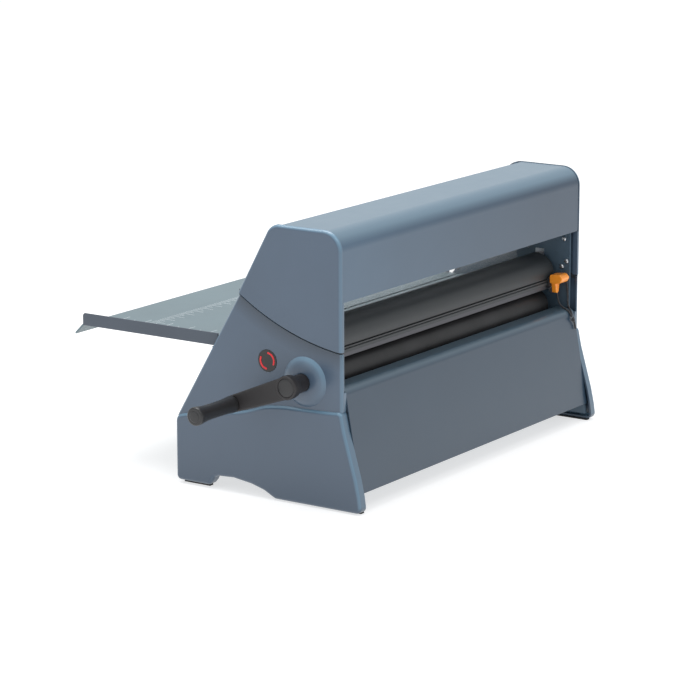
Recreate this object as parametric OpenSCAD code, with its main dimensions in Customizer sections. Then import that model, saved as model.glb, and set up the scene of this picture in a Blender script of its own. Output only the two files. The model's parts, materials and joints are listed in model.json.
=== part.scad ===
// Cold roll laminator: two end covers joined by a hood, hand crank, feed tray, film rolls.
// X runs along the rollers (crank at -X), the sheet is fed from +Y and leaves at -Y, +Z is up.
// Origin: middle of the machine's width and depth, on the table surface.

/* [Machine] */
// Width over the end covers
machine_w = 724; // [700:1:800]
// Height over the end covers
machine_h = 433; // [429:1:437]
// Depth of the foot of an end cover
machine_d = 351; // [348:1:354]
// Thickness of the front rubber feet
foot_h = 2; // [1.5:0.5:3]

/* [End covers] */
// Wall thickness of the covers
cover_t = 3.2; // [3:0.1:4]
// Radius of the rounded outer edge
cover_fillet = 6; // [5:0.5:7]
// How far the foot bulge stands out beyond the middle face
bulge_step = 4.5; // [3:0.5:6]
// How far the upper cover stands out beyond the middle face
upper_step = 2.5; // [2:0.5:3]
// Radius of the round boss behind the crank
boss_r = 39; // [36:1:40]
// Height of the boss above the middle face
boss_h = 8; // [6:0.5:10]

/* [Rollers] */
// Radius of both nip rollers
roller_r = 27; // [26:0.1:27]
// Working length of the rollers
roller_len = 650; // [640:2:656]
// Space between the two rollers at the nip
nip_gap = 0.6; // [0.5:0.1:1]
// Radius of the roller shafts
shaft_r = 6; // [5:0.5:6]
// Height of the lower roller's axis
lower_axis_z = 195.6; // [194:0.2:197]
// Teeth on each of the two equal gears
gear_teeth = 26; // [24:2:28]

/* [Crank] */
// Distance from the roller axis to the handle pin
crank_len = 110; // [95:1:115]
// How far the arm points below the horizontal at rest
crank_droop = 21; // [10:1:30]
// Length of the handle
grip_len = 95; // [80:1:100]
// Radius of the handle at its ends
grip_r = 14.5; // [13:0.5:16]

/* [Feed tray] */
// Height of the tray's upper surface
tray_z = 227.6; // [227:0.1:228]
// Depth coordinate of the tray's outer edge
tray_edge_y = 379.5; // [340:0.5:392]
// Thickness of the tray's panel
tray_t = 3.2; // [2.5:0.1:3.5]
// Height of the tray's side flanges above its underside
flange_h = 20; // [15:1:21]

/* [Film rolls] */
// Outer radius of the film on a supply roll
film_r = 42; // [35:1:43]
// Length of a supply roll
film_len = 636; // [600:2:640]

/* [Hidden] */
$fn = 64;
eps = 0.01;

// Colours
body_c = [0.41, 0.48, 0.55];
top_c = [0.52, 0.60, 0.66];
black_c = [0.16, 0.17, 0.18];
rubber_c = [0.12, 0.12, 0.13];
steel_c = [0.70, 0.71, 0.73];
crank_c = [0.22, 0.21, 0.22];
orange_c = [0.95, 0.58, 0.13];
red_c = [0.86, 0.10, 0.14];
film_c = [0.85, 0.88, 0.90, 0.4];
tray_c = [0.58, 0.65, 0.69];

// Stations along X, all measured outwards from the middle
half_w = machine_w / 2;
mid_face_x = half_w - bulge_step;
upper_face_x = mid_face_x + upper_step;
frame_in_x = 341;
frame_out_x = 345;
hood_half = 353;
hood_out = 0.8;
hood_in = hood_out + 2.8;
boss_face_x = mid_face_x + boss_h;

// Everything below is drawn from a base point on the profile that lies this far from the origin
base = [-7.5, 7];
top_z = machine_h - base.y;
roller_z = lower_axis_z - base.y;
tray_top = tray_z - base.y;
tray_edge = tray_edge_y - base.x;

// Side profile
front_y = -machine_d / 2 - base.x;
rear_y = machine_d / 2 - base.x;
front_foot_z = foot_h - base.y;
rear_foot_z = front_foot_z + 3;
rear_corner_z = 102.5;
front_edge_y = -131;
ledge_front = [front_edge_y, 150];
front_corner_r = 32;
back_corner_r = 26;
slant_angle = 28.9;
hood_edge_z = 317;
hood_rear_y = -17.5;
rim_x = 350.5;
seam_centre = [-184, 666];
seam_r = 428;
seam_gap = 0.5;

// Roller axes
axis_y = -63.5;
lower_axis = [axis_y, roller_z];
axis_step = 2 * roller_r + nip_gap;
upper_axis = lower_axis + [0, axis_step];
upper_supply_axis = [-62, 358];
lower_supply_axis = [10, 96];
hood_axis = [-18, 415];
knuckle_r = 4.8;
tray_axis = [104, 214.4];
hinge_rod_r = 2.6;
running = 0.05;

// Roller guard
guard_in_r = roller_r + 2.2;
guard_out_r = roller_r + 5.7;
guard_half = 333;

// Crank
crank_in_x = boss_face_x + 0.5;
crank_out_x = crank_in_x + 43;
arm_t = 15;
arm_dir = [cos(crank_droop), -sin(crank_droop)];
pin_axis = lower_axis + crank_len * arm_dir;
pin_r = 5;

// Cutter at rest, at the right-hand end of its rail
cutter_x = 319;

// Pull cord: the two strands from the cutter to the knot, lying over the front cover
cord_r = 1.5;
cord_route = [
    [332, -114, 236], [333.5, -114, 236], [335.6, -114.6, 235.4], [337.3, -115.8, 233.6],
    [338, -117.2, 230.8], [338, -118.8, 226], [337.4, -120.4, 219], [336.8, -121.3, 210],
    [336.2, -121.8, 201], [335.6, -122.6, 193], [334.8, -126, 186], [333.6, -130.4, 180],
    [332.4, -133, 173.5]
];
return_route = [
    [323.5, -106, 214.25], [324.6, -106, 213.3], [325.6, -106.5, 211.2], [326, -107.1, 208.4],
    [325.8, -108.6, 202], [325.6, -111.5, 195], [326, -116.5, 189.2], [327, -122.4, 186.2],
    [328.2, -128.2, 182.4], [329.4, -132, 176.5], [330, -133.4, 172.5]
];
knot_centre = [331.2, -136.2, 168.5];
tail_route = [
    [331.2, -136.2, 168.5], [334, -136.4, 164], [336.4, -136.6, 158], [337.4, -137.4, 151]
];

// ---- General shapes ----

function unit(v) = v / norm(v);
function left_normal(a, b) = let (d = unit(b - a)) [-d.y, d.x];
function reversed(list) = [for (i = [len(list) - 1:-1:0]) list[i]];
function arc(c, r, from, to, steps = 8) =
    [for (i = [0:steps]) let (a = from + (to - from) * i / steps) c + r * [cos(a), sin(a)]];

// Closed outline moved inwards by d; the outline runs anticlockwise
function inset(pts, d) =
    let (n = len(pts))
    [for (i = [0:n - 1])
        let (n1 = left_normal(pts[(i + n - 1) % n], pts[i]),
             n2 = left_normal(pts[i], pts[(i + 1) % n]))
        pts[i] + d * (n1 + n2) / (1 + n1 * n2)];

// Open path moved to its left by d
function beside(path, d) =
    let (last = len(path) - 1)
    [for (i = [0:last])
        let (n1 = left_normal(path[max(i - 1, 0)], path[max(i - 1, 0) + 1]),
             n2 = left_normal(path[min(i, last - 1)], path[min(i, last - 1) + 1]))
        path[i] + d * (n1 + n2) / (1 + n1 * n2)];

// Sheet-metal section: an open path given a thickness to its left
function strip(path, t) = concat(path, reversed(beside(path, t)));

// Extrude a (y, z) outline along X
module along_x(x0, x1) {
    translate([x0, base.x, base.y]) rotate([90, 0, 90]) linear_extrude(x1 - x0) children();
}

// Revolve an (r, x) outline about an axis along X through c = (y, z)
module turned_x(c) {
    translate([0, c.x + base.x, c.y + base.y]) rotate([0, 90, 0]) rotate_extrude() children();
}

module bar_x(c, r, x0, x1, sides = 64) {
    translate([x0, c.x + base.x, c.y + base.y]) rotate([0, 90, 0])
        cylinder(r = r, h = x1 - x0, $fn = sides);
}

module both_sides() {
    children();
    mirror([1, 0, 0]) children();
}

// Solid with the outline at each [x, inset] ring, used for rounded outer edges (towards -X)
module ringed(outline, rings) {
    n = len(outline);
    m = len(rings);
    points = [for (ring = rings) for (p = inset(outline, ring[1]))
        [ring[0], p.x + base.x, p.y + base.y]];
    faces = concat(
        [[for (i = [n - 1:-1:0]) i]],
        [for (k = [0:m - 2]) for (i = [0:n - 1])
            [k * n + i, k * n + (i + 1) % n, (k + 1) * n + (i + 1) % n, (k + 1) * n + i]],
        [[for (i = [0:n - 1]) (m - 1) * n + i]]);
    polyhedron(points, faces);
}

// Quarter-round edge: rings from x_in straight out, then turning in towards face_x
function rounded_rings(x_in, face_x, r, steps = 4) = concat(
    [[-x_in, 0]],
    [for (i = [0:steps]) let (a = 90 * i / steps)
        [-(face_x - r + r * sin(a)), r * (1 - cos(a))]]);

// Round tube swept along a route, ref is a direction that the route never follows
module swept_tube(route, r, sides, ref) {
    n = len(route);
    tangents = [for (i = [0:n - 1]) unit(route[min(i + 1, n - 1)] - route[max(i - 1, 0)])];
    points = [for (i = [0:n - 1])
        let (u = unit(cross(tangents[i], ref)), v = cross(tangents[i], u))
        for (k = [0:sides - 1]) let (a = 360 * k / sides)
            route[i] + [0, base.x, base.y] + r * (cos(a) * u + sin(a) * v)];
    walls = [for (i = [0:n - 2]) for (k = [0:sides - 1])
        let (a = i * sides + k, b = i * sides + (k + 1) % sides)
        each [[b, a, a + sides], [b + sides, b, a + sides]]];
    ends = [[for (k = [0:sides - 1]) k], [for (k = [sides - 1:-1:0]) (n - 1) * sides + k]];
    polyhedron(points, concat(walls, ends));
}

// ---- Side profile ----

// The rear edge of the upper cover is a little steeper than that of the lower one
function lower_slant_y(z) = rear_y - 0.592 * (z - rear_corner_z);
function upper_slant_y(z) = 60.5 - tan(slant_angle) * (z - 314);

arch = [[-7, front_foot_z], [14, 5.5], [38, 12], [72, 16.5], [100, 15], [109, 12], [112, 6],
        [119, rear_foot_z]];
foot_front = [[-137.5, 119], [-145.4, 92], [-158.5, 47], [-164.5, 20]];
top_back_arc = arc([upper_slant_y(top_z) - back_corner_r * tan(45 - slant_angle / 2),
                    top_z - back_corner_r], back_corner_r, slant_angle, 90, 5);
top_front_arc = arc([front_edge_y + front_corner_r, top_z - front_corner_r],
                    front_corner_r, 90, 180, 10);
ledge = [[155, 109.5], [100, 118.5], [50, 128], [14, 140], [-10, 144], [-33, 146],
         [-68, 146.4], [-113, 148]];
foot_outline = concat([[front_y, front_foot_z]], arch,
                      [[rear_y, rear_foot_z], [rear_y, rear_corner_z]]);
front_outline = concat([ledge_front], foot_front);
// The two covers overlap here and are parted along the seam's cylinder
lower_outline = concat(foot_outline, [[lower_slant_y(340), 340], [front_edge_y, 262]],
                       front_outline);
bulge_outline = concat(foot_outline, ledge, front_outline);
middle_outline = [[rear_y, rear_corner_z], [lower_slant_y(340), 340], [front_edge_y, 262],
                  ledge_front, [-125, 112], [0, 104], [142, 84]];
upper_outline = concat([[front_edge_y, 205], [upper_slant_y(255), 255]], top_back_arc,
                       top_front_arc);
whole_outline = concat(foot_outline, [[lower_slant_y(280), 280]], top_back_arc, top_front_arc,
                       front_outline);

// Region that the hood closes, seen from the side
module hood_zone(front_z, rear_z) {
    polygon([[-200, front_z], [-60, front_z], [-60, rear_z], [60, rear_z], [60, 500],
             [-200, 500]]);
}

// ---- End covers, drawn for the left (-X) side ----

// Dome outline as [radius, height above the middle face]
boss_dome = [[boss_r, 0], [boss_r - 4, boss_h * 0.3], [boss_r - 10, boss_h * 0.66],
             [boss_r - 17, boss_h * 0.9], [boss_r - 24, boss_h]];

module cover_boss() {
    turned_x(lower_axis) polygon(concat(
        [[0, cover_t - mid_face_x], [boss_r, cover_t - mid_face_x]],
        [for (p = boss_dome) [p.x, -mid_face_x - p.y]],
        [[0, -boss_face_x]]));
}

module lower_cover(boss_hole_r) {
    step_x = mid_face_x - cover_fillet;
    difference() {
        union() {
            ringed(middle_outline, rounded_rings(frame_out_x - 2, mid_face_x, cover_fillet));
            ringed(bulge_outline, rounded_rings(frame_out_x - 3, half_w, cover_fillet));
            cover_boss();
        }
        along_x(-step_x, -frame_out_x + 1) polygon(inset(lower_outline, cover_t));
        along_x(-mid_face_x + cover_t, -step_x + eps)
            polygon(inset(lower_outline, cover_t + 6));
        along_x(-half_w + cover_t, -mid_face_x + cover_t + eps)
            polygon(inset(bulge_outline, cover_t + 7));
        if (boss_hole_r > 0) bar_x(lower_axis, boss_hole_r, -half_w - 20, -frame_out_x);
        bar_x(seam_centre, seam_r + seam_gap, -half_w - 1, -frame_out_x + 1, 256);
        front_rim_cut(91, 330);
        // Both stacks start a little inside and are trimmed flush with the side frame
        along_x(-frame_out_x, -frame_out_x + 5) translate([-250, -50]) square([500, 500]);
    }
}

// The front edges of the covers end short of the side frames
module front_rim_cut(z0, z1) {
    along_x(-rim_x, -frame_out_x + 1) translate([-170, z0]) square([52, z1 - z0]);
}

module upper_cover() {
    difference() {
        intersection() {
            ringed(upper_outline, rounded_rings(frame_out_x, upper_face_x, cover_fillet));
            bar_x(seam_centre, seam_r, -half_w - 1, -frame_out_x + 1, 256);
        }
        along_x(-hood_half - 0.4, -frame_out_x + 1) difference() {
            hood_zone(hood_edge_z - 0.5, 405);
            polygon(inset(upper_outline, hood_in + 0.6));
        }
        along_x(-upper_face_x + cover_t, -frame_out_x + 1)
            polygon(inset(upper_outline, hood_in + 0.6 + cover_t));
        along_x(-upper_face_x + cover_fillet, -frame_out_x + 1) difference() {
            polygon(inset(upper_outline, cover_t));
            hood_zone(hood_edge_z - 4, 401);
        }
        front_rim_cut(200, hood_edge_z - 4);
        bar_x(hood_axis, 11.5, -hood_half - 0.4, -frame_out_x + 1);
    }
}

module left_cover_lower() {
    color(body_c) difference() {
        lower_cover(13.5);
        bar_x(badge_centre, badge_r + 0.3, -half_w, -mid_face_x + 1.2);
    }
}

module left_cover_upper() { color(body_c) upper_cover(); }

module right_cover_lower() { color(body_c) mirror([1, 0, 0]) lower_cover(0); }

module right_cover_upper() { color(body_c) mirror([1, 0, 0]) upper_cover(); }

badge_centre = [6.5, 212.2];
badge_r = 17.2;

module direction_badge() {
    color(black_c)
        bar_x(badge_centre, badge_r, -mid_face_x - 0.6, -mid_face_x + 1.2);
}

module badge_arrows() {
    color(red_c) along_x(-mid_face_x - 1, -mid_face_x - 0.6) translate(badge_centre)
        for (start = [104, 284]) rotate(start) difference() {
            intersection() {
                circle(r = 14);
                polygon([[0, 0], [30, -6], [30, 30], [-6, 30]]);
            }
            circle(r = 11.2);
        }
}

// ---- Frame ----

module side_frame() {
    along_x(frame_in_x, frame_out_x) difference() {
        union() {
            polygon(inset(whole_outline, 9.4));
            translate(tray_axis) circle(r = 10);
            translate(hood_axis) circle(r = knuckle_r);
        }
        translate(lower_axis) circle(r = 11);
        translate(upper_axis) circle(r = 9);
        translate(hood_axis) circle(r = hinge_rod_r);
        translate(tray_axis) circle(r = hinge_rod_r);
        for (p = rod_places) translate(p) circle(r = 3);
    }
}
rod_places = [[140, 60], [-118, 60], [62, 172]];

module right_side_frame() { color(body_c) side_frame(); }

module left_side_frame() { color(body_c) mirror([1, 0, 0]) side_frame(); }

module tie_rods() {
    color(steel_c) for (p = rod_places) {
        bar_x(p, 6, -frame_in_x, frame_in_x);
        both_sides() bar_x(p, 3, frame_in_x - eps, frame_out_x);
        both_sides() bar_x(p, 6, frame_out_x, frame_out_x + 4);
    }
}

module frame_screws() {
    places = [[-110, 303], [-115, 265], [-106, 255], [-40, 285], [140, 120], [-118, 130]];
    color(steel_c) both_sides() for (p = places) turned_x(p)
        polygon([[0, frame_in_x], [0, frame_in_x - 2.2], [2.6, frame_in_x - 1.9],
                 [3.9, frame_in_x - 0.7], [4.2, frame_in_x]]);
}

module base_pan() {
    color(body_c) along_x(-frame_in_x, frame_in_x)
        polygon(strip([[-146, 34], [-146, 20], [166, 20], [166, 34]], 2));
}

module front_cover() {
    corner = [-117, 171];
    path = concat([[-97, 185]], arc(corner, 14, 90, 176, 8), [[-157.6, 22], [-147, 20]]);
    color(body_c) along_x(-frame_in_x, frame_in_x) polygon(strip(path, 2.5));
}

module rear_cover() {
    path = [[rear_y - 6.6, 21], [rear_y - 6.6, 101], [lower_slant_y(205) - 4, 205],
            [lower_slant_y(205) - 12, 208]];
    color(body_c) along_x(-frame_in_x, frame_in_x) polygon(strip(path, 2.2));
}

module rear_top_panel() {
    path = [[upper_slant_y(303) - 11, 299], [upper_slant_y(303) - 7, 303],
            [upper_slant_y(409) - 7, 409]];
    color(body_c) along_x(-frame_in_x, frame_in_x) polygon(strip(path, 2.2));
}

module feed_shelf() {
    color(tray_c) along_x(-frame_in_x, frame_in_x)
        polygon([[96, 212], [96, 220.4], [-24, 219], [-31, 216.5], [-31, 214.6], [-24, 216.4],
                 [93, 217.9], [93, 212]]);
}

module tray_brackets() {
    back_y = tray_axis.x;
    under_tray = tray_top - tray_t - 0.3;
    color(body_c) both_sides() along_x(frame_in_x - 9, frame_in_x) difference() {
        polygon([[back_y, 209.5], [116, 209.5], [124, 213.5], [124, under_tray],
                 [back_y, under_tray]]);
        translate(tray_axis) circle(r = hinge_rod_r);
    }
}

module tray_hinge_rod() {
    color(steel_c) bar_x(tray_axis, hinge_rod_r, -frame_out_x, frame_out_x);
}

module hood_hinge_rod() {
    color(steel_c) bar_x(hood_axis, hinge_rod_r, -frame_out_x, frame_out_x);
}

module rubber_feet() {
    color(rubber_c) both_sides() {
        translate([-349.5, -168, 0]) cube([349.5 - frame_in_x, 140, foot_h]);
        translate([-349.5, 118, 0]) cube([349.5 - frame_in_x, 50, foot_h + 3]);
    }
}

// ---- Roller guard, rail and strip ----

skirt_y = upper_axis.x - guard_out_r;

module guard_sector(from, to, r) {
    polygon(concat([[0, 0]], arc([0, 0], r * 1.5, from, to, 8)));
}

module roller_guard() {
    color(black_c) along_x(-guard_half, guard_half) {
        translate(upper_axis) intersection() {
            difference() {
                circle(r = guard_out_r);
                circle(r = guard_in_r);
            }
            guard_sector(48, 192, guard_out_r);
        }
    }
}

module cutter_rail() {
    rail_z = upper_axis.y - 7.4;
    color(black_c) along_x(-frame_in_x, frame_in_x) polygon([
        [skirt_y + 0.6, rail_z], [skirt_y - 1.6, rail_z], [skirt_y - 1.6, rail_z - 1.8],
        [skirt_y + 0.6, rail_z - 1.8], [skirt_y + 0.6, rail_z - 4.2],
        [skirt_y - 1.6, rail_z - 4.2], [skirt_y - 1.6, 226.6], [skirt_y + 3, 226.6],
        [skirt_y + 3, rail_z]]);
}

module cutting_strip() {
    color(steel_c) along_x(-frame_in_x, frame_in_x)
        polygon([[skirt_y + 3, 229], [skirt_y + 3, 219], [skirt_y + 5, 217.8],
                 [skirt_y + 6, 218.6], [skirt_y + 5, 229]]);
}

// ---- Rollers and gears ----

module lower_bearings() {
    color(steel_c) both_sides() difference() {
        union() {
            bar_x(lower_axis, 11, frame_in_x, frame_out_x);
            bar_x(lower_axis, 13, frame_in_x - 3, frame_in_x);
        }
        bar_x(lower_axis, shaft_r + running, frame_in_x - 4, frame_out_x + 1);
    }
}

module upper_bearing_blocks() {
    color(steel_c) both_sides() difference() {
        along_x(frame_in_x - 7, frame_in_x) translate(upper_axis - [11, 12]) square([22, 24]);
        bar_x(upper_axis, shaft_r + running, frame_in_x - 8, frame_in_x + 1);
    }
}

spring_z0 = upper_axis.y + 12;
spring_z1 = spring_z0 + 16;

module pressure_springs() {
    turns = 4;
    coil_r = 2.5;
    wire_r = 0.5;
    span = spring_z1 - spring_z0 - 2 * wire_r;
    steps = turns * 10;
    helix = [for (i = [0:steps]) let (a = 360 * turns * i / steps)
        [frame_in_x - 3.5 + coil_r * cos(a), axis_y + coil_r * sin(a),
         spring_z0 + wire_r + span * i / steps]];
    color(steel_c) both_sides() swept_tube(helix, wire_r, 6, [0, 0, 1]);
}

module spring_seats() {
    color(steel_c) both_sides() {
        along_x(frame_in_x - 7, frame_in_x) translate([axis_y - 8, spring_z1 + 0.1])
            square([16, 3]);
        bar_x([axis_y, spring_z1 + 7], 4, frame_in_x - 2, frame_in_x);
        along_x(frame_in_x - 2, frame_in_x) translate([axis_y - 8, spring_z1 + 3])
            square([16, 8]);
    }
}

module roller_shaft(c, x0, x1) { bar_x(c, shaft_r, x0, x1); }

module rubber_sleeve(c) {
    half = roller_len / 2;
    turned_x(c) polygon([[shaft_r, -half], [roller_r - 1, -half], [roller_r, -half + 1],
                         [roller_r, half - 1], [roller_r - 1, half], [shaft_r, half]]);
}

module lower_roller_shaft() {
    color(steel_c) roller_shaft(lower_axis, -crank_out_x + 4, frame_out_x + 3);
}

module upper_roller_shaft() {
    color(steel_c) roller_shaft(upper_axis, -gear_x1 - 1.5, frame_out_x + 3);
}

module lower_roller() { color(rubber_c) rubber_sleeve(lower_axis); }

module upper_roller() { color(rubber_c) rubber_sleeve(upper_axis); }

gear_x0 = frame_out_x + 0.6;
gear_x1 = gear_x0 + 6;
gear_pitch_r = axis_step / 2;
gear_module = 2 * gear_pitch_r / gear_teeth;

// Half the angle of a tooth at radius r, for a 20 degree involute tooth with some backlash
function inv_angle(a) = tan(a) * 180 / PI - a;
function half_tooth(r) =
    let (base_r = gear_pitch_r * cos(20),
         at_r = r <= base_r ? 0 : inv_angle(acos(base_r / r)))
    90 / gear_teeth * 0.93 + inv_angle(20) - at_r;
tooth_radii = [for (i = [0:5]) gear_pitch_r - 1.2 * gear_module + 2.15 * gear_module * i / 5];
function tooth(at) = concat(
    [for (r = tooth_radii) let (a = at - half_tooth(r)) r * [cos(a), sin(a)]],
    [for (r = reversed(tooth_radii)) let (a = at + half_tooth(r)) r * [cos(a), sin(a)]]);
gear_outline = [for (i = [0:gear_teeth - 1]) each tooth(360 * i / gear_teeth)];

module spur_gear(c, turn) {
    along_x(-gear_x1, -gear_x0) translate(c) difference() {
        rotate(turn) polygon(gear_outline);
        circle(r = shaft_r);
        for (a = [30:60:330]) rotate(a) translate([15, 0]) circle(r = 4);
    }
}

module lower_gear() { color(steel_c) spur_gear(lower_axis, 90); }

module upper_gear() { color(steel_c) spur_gear(upper_axis, 90 + 180 / gear_teeth); }

// ---- Crank ----

module crank_bushing() {
    color(black_c) turned_x(lower_axis)
        polygon([[11.2, -boss_face_x - 0.3], [13.5, -boss_face_x - 0.3],
                 [13.5, -mid_face_x + 3], [11.2, -mid_face_x + 3]]);
}

module crank_hub() {
    color(crank_c) difference() {
        turned_x(lower_axis) polygon([
            [shaft_r, -crank_in_x], [13, -crank_in_x], [14, -crank_in_x - 1],
            [14.6, -crank_in_x - 22], [17.6, -crank_in_x - 27], [18.4, -crank_in_x - 32],
            [18.6, -crank_out_x + 1.5], [17.2, -crank_out_x], [14.2, -crank_out_x],
            [14.2, -crank_out_x + 3], [shaft_r, -crank_out_x + 3]]);
        set_screw_place() cylinder(r = 2.5, h = 20);
    }
}

module set_screw_place() {
    translate([-crank_in_x - 12, lower_axis.x + base.x, lower_axis.y + base.y])
        rotate([135, 0, 0]) children();
}

module crank_set_screw() {
    color(steel_c) set_screw_place() difference() {
        translate([0, 0, shaft_r]) cylinder(r = 2.5, h = 7.4);
        translate([0, 0, 11.4]) cylinder(r = 1.3, h = 5, $fn = 6);
    }
}

arm_x0 = -crank_out_x + 3.5;
arm_x1 = arm_x0 + arm_t;

module arm_outline(hub_r, pin_end_r) {
    side = acos((hub_r - pin_end_r) / crank_len);
    rotate(-crank_droop) polygon(concat(
        arc([0, 0], hub_r, side, 360 - side, 16),
        arc([crank_len, 0], pin_end_r, -side, side, 16)));
}

module crank_arm() {
    color(crank_c) difference() {
        along_x(arm_x0, arm_x1) difference() {
            translate(lower_axis) arm_outline(17.5, 13.5);
            translate(lower_axis) circle(r = 18.6);
        }
        bar_x(pin_axis, pin_r, arm_x0 - 1, arm_x1 + 1);
    }
}

module crank_cap() {
    color(black_c) turned_x(lower_axis) polygon([
        [0, -crank_out_x + 3], [14.2, -crank_out_x + 3], [14.2, -crank_out_x + 0.8],
        [12.5, -crank_out_x], [0, -crank_out_x - 0.6]]);
}

grip_x1 = arm_x0 - 0.6;
grip_x0 = grip_x1 - grip_len;

module crank_pin() {
    color(steel_c) {
        bar_x(pin_axis, pin_r, grip_x0 + 6, arm_x1);
        bar_x(pin_axis, 7.5, grip_x0 + 3.5, grip_x0 + 6);
    }
}

module crank_grip() {
    waist_r = grip_r - 2.4;
    color(black_c) turned_x(pin_axis) polygon([
        [pin_r + running, grip_x1], [grip_r - 2, grip_x1], [grip_r - 1, grip_x1 - 1.5],
        [grip_r - 1, grip_x1 - 5], [waist_r, grip_x1 - 16], [waist_r - 0.4, grip_x1 - 45],
        [waist_r, grip_x1 - 72], [grip_r - 0.6, grip_x0 + 12], [grip_r, grip_x0 + 6],
        [grip_r - 0.5, grip_x0 + 1.5], [grip_r - 2, grip_x0], [9, grip_x0],
        [9, grip_x0 + 6.4], [pin_r + running, grip_x0 + 6.4]]);
}

module grip_end_cap() {
    color(black_c) turned_x(pin_axis)
        polygon([[0, grip_x0 + 2.5], [9, grip_x0 + 2.5], [9, grip_x0], [7.5, grip_x0 - 0.8],
                 [0, grip_x0 - 1.2]]);
}

// ---- Film supply rolls ----

core_r = 19;
plug_r = 8;

module supply_core(c) {
    half = film_len / 2;
    turned_x(c) polygon([[core_r - 2.5, -half - 4], [core_r, -half - 4], [core_r, half + 4],
                         [core_r - 2.5, half + 4]]);
}

module supply_film(c) {
    half = film_len / 2;
    turned_x(c) polygon([[core_r, -half], [film_r, -half], [film_r, half], [core_r, half]]);
}

module supply_plugs(c) {
    half = film_len / 2;
    both_sides() turned_x(c) polygon([
        [0, half - 16], [core_r - 2.5, half - 16], [core_r - 2.5, half + 4],
        [core_r + 1, half + 4], [core_r + 1, half + 7], [plug_r, half + 7],
        [plug_r, frame_in_x - 1.2], [0, frame_in_x - 1.2]]);
}

module supply_brackets() {
    color(steel_c) both_sides() for (c = [upper_supply_axis, lower_supply_axis])
        along_x(frame_in_x - 12, frame_in_x) translate(c) difference() {
            union() {
                circle(r = 15);
                translate([-11, -26]) square([22, 26]);
            }
            circle(r = plug_r + running);
        }
}

module upper_supply_core() { color([0.75, 0.65, 0.5]) supply_core(upper_supply_axis); }

module upper_supply_film() { color(film_c) supply_film(upper_supply_axis); }

module upper_supply_plugs() { color(black_c) supply_plugs(upper_supply_axis); }

module lower_supply_core() { color([0.75, 0.65, 0.5]) supply_core(lower_supply_axis); }

module lower_supply_film() { color(film_c) supply_film(lower_supply_axis); }

module lower_supply_plugs() { color(black_c) supply_plugs(lower_supply_axis); }

// Film running from a supply roll (centre a) over the rear of a nip roller (centre b)
web_gap = 0.35;
web_t = 0.3;

// Direction from the centres to the outer tangent line on the side given by turn (+90 or -90)
function tangent_angle(a, b, ra, rb, turn) =
    let (d = b - a) atan2(d.y, d.x) + sign(turn) * acos((ra - rb) / norm(d));

module film_web(a, b, turn, nip_angle) {
    ra = film_r + web_gap;
    rb = roller_r + web_gap;
    n = tangent_angle(a, b, ra, rb, turn);
    dir = [cos(n), sin(n)];
    wrap = arc(b, rb, n, nip_angle, 8);
    path = concat([a + ra * dir], wrap);
    along_x(-film_len / 2, film_len / 2) polygon(strip(path, sign(turn) * web_t));
}

module upper_film_web() {
    color(film_c) film_web(upper_supply_axis, upper_axis, 90, -58);
}

module lower_film_web() {
    color(film_c) film_web(lower_supply_axis, lower_axis, -90, 62);
}

// ---- Cutter ----

module cutter_slider() {
    y = skirt_y - 1.9;
    color(black_c) along_x(cutter_x - 11, cutter_x + 11) polygon([
        [y, 225], [y, 240], [y - 4, 240], [y - 4, 225]]);
}

module cutter_knob() {
    y = skirt_y - 5.9;
    color(orange_c) {
        along_x(cutter_x - 12, cutter_x + 13) polygon(concat(
            [[y, 232], [y, 245]], arc([y - 17, 240], 7, 90, 220, 8), [[y - 10, 231]]));
        translate([cutter_x, y + base.x, base.y]) rotate([90, 0, 0]) linear_extrude(9)
            polygon([[-7, 233], [-2.5, 214], [3, 212.5], [6, 216], [9, 233]]);
    }
}

module cutter_blade() {
    y = skirt_y - 5.9;
    color(steel_c) translate([cutter_x - 3, 0, 0]) along_x(-0.4, 0.4)
        polygon([[y, 225], [y + 5.6, 220], [y + 5.6, 215], [y, 213.5]]);
}

module pull_cord() { color(black_c) swept_tube(cord_route, cord_r, 8, [1, 0.2, 0.1]); }

module pull_cord_return() {
    color(black_c) swept_tube(return_route, cord_r, 8, [1, 0.2, 0.1]);
}

module cord_knot() {
    color(black_c) {
        translate(knot_centre + [0, base.x, base.y]) scale([1.1, 0.95, 1]) sphere(r = 4.4, $fn = 16);
        swept_tube(tail_route, cord_r, 8, [0, 1, 0]);
    }
}

// ---- Feed tray ----

module feed_tray() {
    half = 337;
    bottom_z = tray_top - tray_t;
    lip = [[tray_edge - 6, tray_top], [tray_edge, tray_top - 0.8],
           [tray_edge + 16.5, tray_top - 16.4]];
    color(tray_c) {
        along_x(-half, half) polygon(concat([[100.5, tray_top]], lip,
            reversed(beside(lip, -tray_t)), [[100.5, bottom_z]]));
        both_sides() along_x(half - 3, half) polygon([
            [116, bottom_z], [tray_edge - 1, bottom_z], [tray_edge - 1, bottom_z + 17],
            [tray_edge - 4, bottom_z + flange_h], [116, bottom_z + flange_h]]);
    }
}

module tray_knuckles() {
    color(body_c) difference() {
        for (x = [-310, -105, 105, 310]) along_x(x - 11, x + 11) {
            translate(tray_axis) circle(r = 5.6);
            translate([tray_axis.x - 1, tray_axis.y])
                square([16, tray_top - tray_t - tray_axis.y]);
        }
        bar_x(tray_axis, hinge_rod_r + running, -340, 340);
        along_x(-340, 340) translate([90, tray_top - tray_t]) square([40, 10]);
    }
}

// ---- Hood ----

module hood() {
    color(top_c) along_x(-hood_half, hood_half) intersection() {
        difference() {
            polygon(inset(upper_outline, hood_out));
            polygon(inset(upper_outline, hood_in));
        }
        translate([-200, hood_edge_z]) square([200 + hood_rear_y, 200]);
    }
}

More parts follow.
